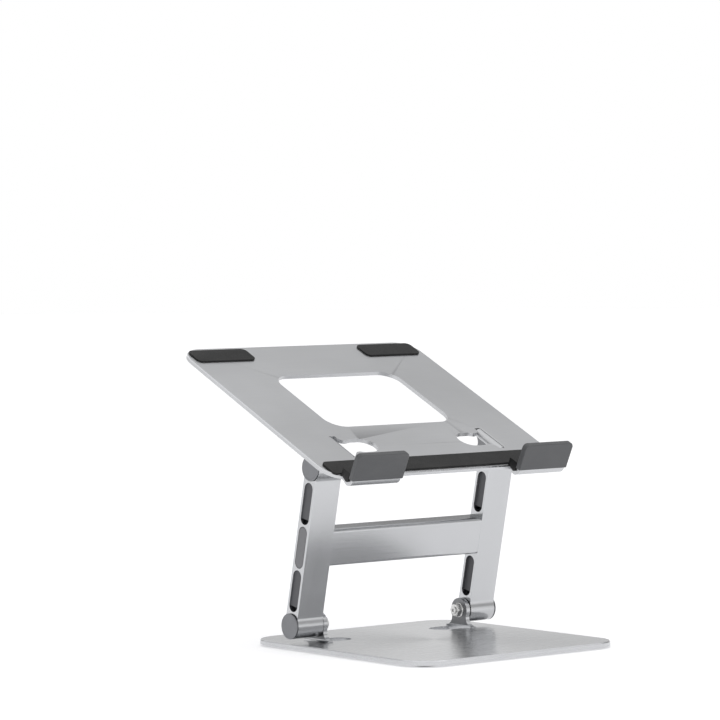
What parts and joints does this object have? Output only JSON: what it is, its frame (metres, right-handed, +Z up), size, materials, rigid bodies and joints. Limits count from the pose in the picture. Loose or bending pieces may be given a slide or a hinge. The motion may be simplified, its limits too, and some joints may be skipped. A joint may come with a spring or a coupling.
{
  "type": "laptop stand",
  "caption": "Folding aluminium laptop stand: flat base plate, H-shaped arm on friction hinges, and a tilting vented tray with rubber-sleeved front hooks.",
  "frame": {"origin": "middle of the base plate's footprint, on the desk, under the middle foot", "axes": "+X is the user's right, -Y faces the user, +Z is up; the lower hinge axis lies along X"},
  "size_m": [0.25, 0.2923, 0.242],
  "materials": {
    "plate_aluminium": "satin anodised sheet, fine straight grain",
    "arm_aluminium": "satin anodised, brushed along the leg",
    "cap_aluminium": "matt grey anodised end caps",
    "foot_rubber": "matt black rubber",
    "sleeve_rubber": "matt mid-grey moulded silicone",
    "pad_silicone": "black silicone, fine matt texture",
    "plug_plastic": "mid-grey moulded plastic",
    "insert_plastic": "dark grey moulded plastic",
    "bush_bronze": "plain sintered bronze",
    "spring_steel": "oiled spring steel",
    "disc_steel": "ground steel",
    "fastener_steel": "bright plated steel"
  },
  "bodies": {
    "base": {"base_plate": "plate_aluminium", "foot_front_left": "foot_rubber", "foot_front_right": "foot_rubber", "foot_rear_left": "foot_rubber", "foot_rear_right": "foot_rubber", "foot_centre": "foot_rubber", "lower_shaft_left": "fastener_steel", "lower_shaft_right": "fastener_steel", "lower_nut_left": "fastener_steel", "lower_nut_right": "fastener_steel", "lower_washer_left": "disc_steel", "lower_washer_right": "disc_steel", "lower_disc_left": "disc_steel", "lower_disc_right": "disc_steel", "lower_springs_left": "spring_steel", "lower_springs_right": "spring_steel", "lower_locknut_left": "fastener_steel", "lower_locknut_right": "fastener_steel"},
    "arm": {"leg_left": "arm_aluminium", "leg_right": "arm_aluminium", "crossbar": "arm_aluminium", "bar_screws_left": "fastener_steel", "bar_screws_right": "fastener_steel", "slot_plug_left": "plug_plastic", "slot_plug_right": "plug_plastic", "lower_insert_left": "insert_plastic", "lower_insert_right": "insert_plastic", "upper_insert_left": "insert_plastic", "upper_insert_right": "insert_plastic", "lower_bush_left": "bush_bronze", "lower_bush_right": "bush_bronze", "upper_bush_left": "bush_bronze", "upper_bush_right": "bush_bronze", "lower_cap_left": "cap_aluminium", "lower_cap_right": "cap_aluminium", "upper_cap_left": "cap_aluminium", "upper_cap_right": "cap_aluminium"},
    "hinge_float": {"upper_washer_left": "disc_steel", "upper_washer_right": "disc_steel"},
    "tray": {"tray_plate": "plate_aluminium", "hook_sleeve_left": "sleeve_rubber", "hook_sleeve_right": "sleeve_rubber", "hook_pad_left": "pad_silicone", "hook_pad_right": "pad_silicone", "front_pad": "pad_silicone", "rear_pad_left": "pad_silicone", "rear_pad_right": "pad_silicone", "upper_shaft_left": "fastener_steel", "upper_shaft_right": "fastener_steel", "upper_nut_left": "fastener_steel", "upper_nut_right": "fastener_steel", "upper_disc_left": "disc_steel", "upper_disc_right": "disc_steel", "upper_springs_left": "spring_steel", "upper_springs_right": "spring_steel", "upper_locknut_left": "fastener_steel", "upper_locknut_right": "fastener_steel"}
  },
  "joints": [
    {"name": "arm_fold", "type": "hinge", "parent": "base", "child": "arm", "pos_m": [0, 0.05575, 0.0197], "axis": [-1, 0, 0], "range_deg": [-77.4, 20]},
    {"name": "hinge_level", "type": "hinge", "parent": "arm", "child": "hinge_float", "pos_m": [0, 0.02674, 0.1495], "axis": [-1, 0, 0], "range_deg": [-20, 77.4]},
    {"name": "tray_tilt", "type": "hinge", "parent": "hinge_float", "child": "tray", "pos_m": [0, 0.02674, 0.1495], "axis": [1, 0, 0], "range_deg": [-25.4, 14]}
  ],
  "couplings": [
    {"joint": "hinge_level", "follows": "arm_fold", "ratio": -1}
  ]
}
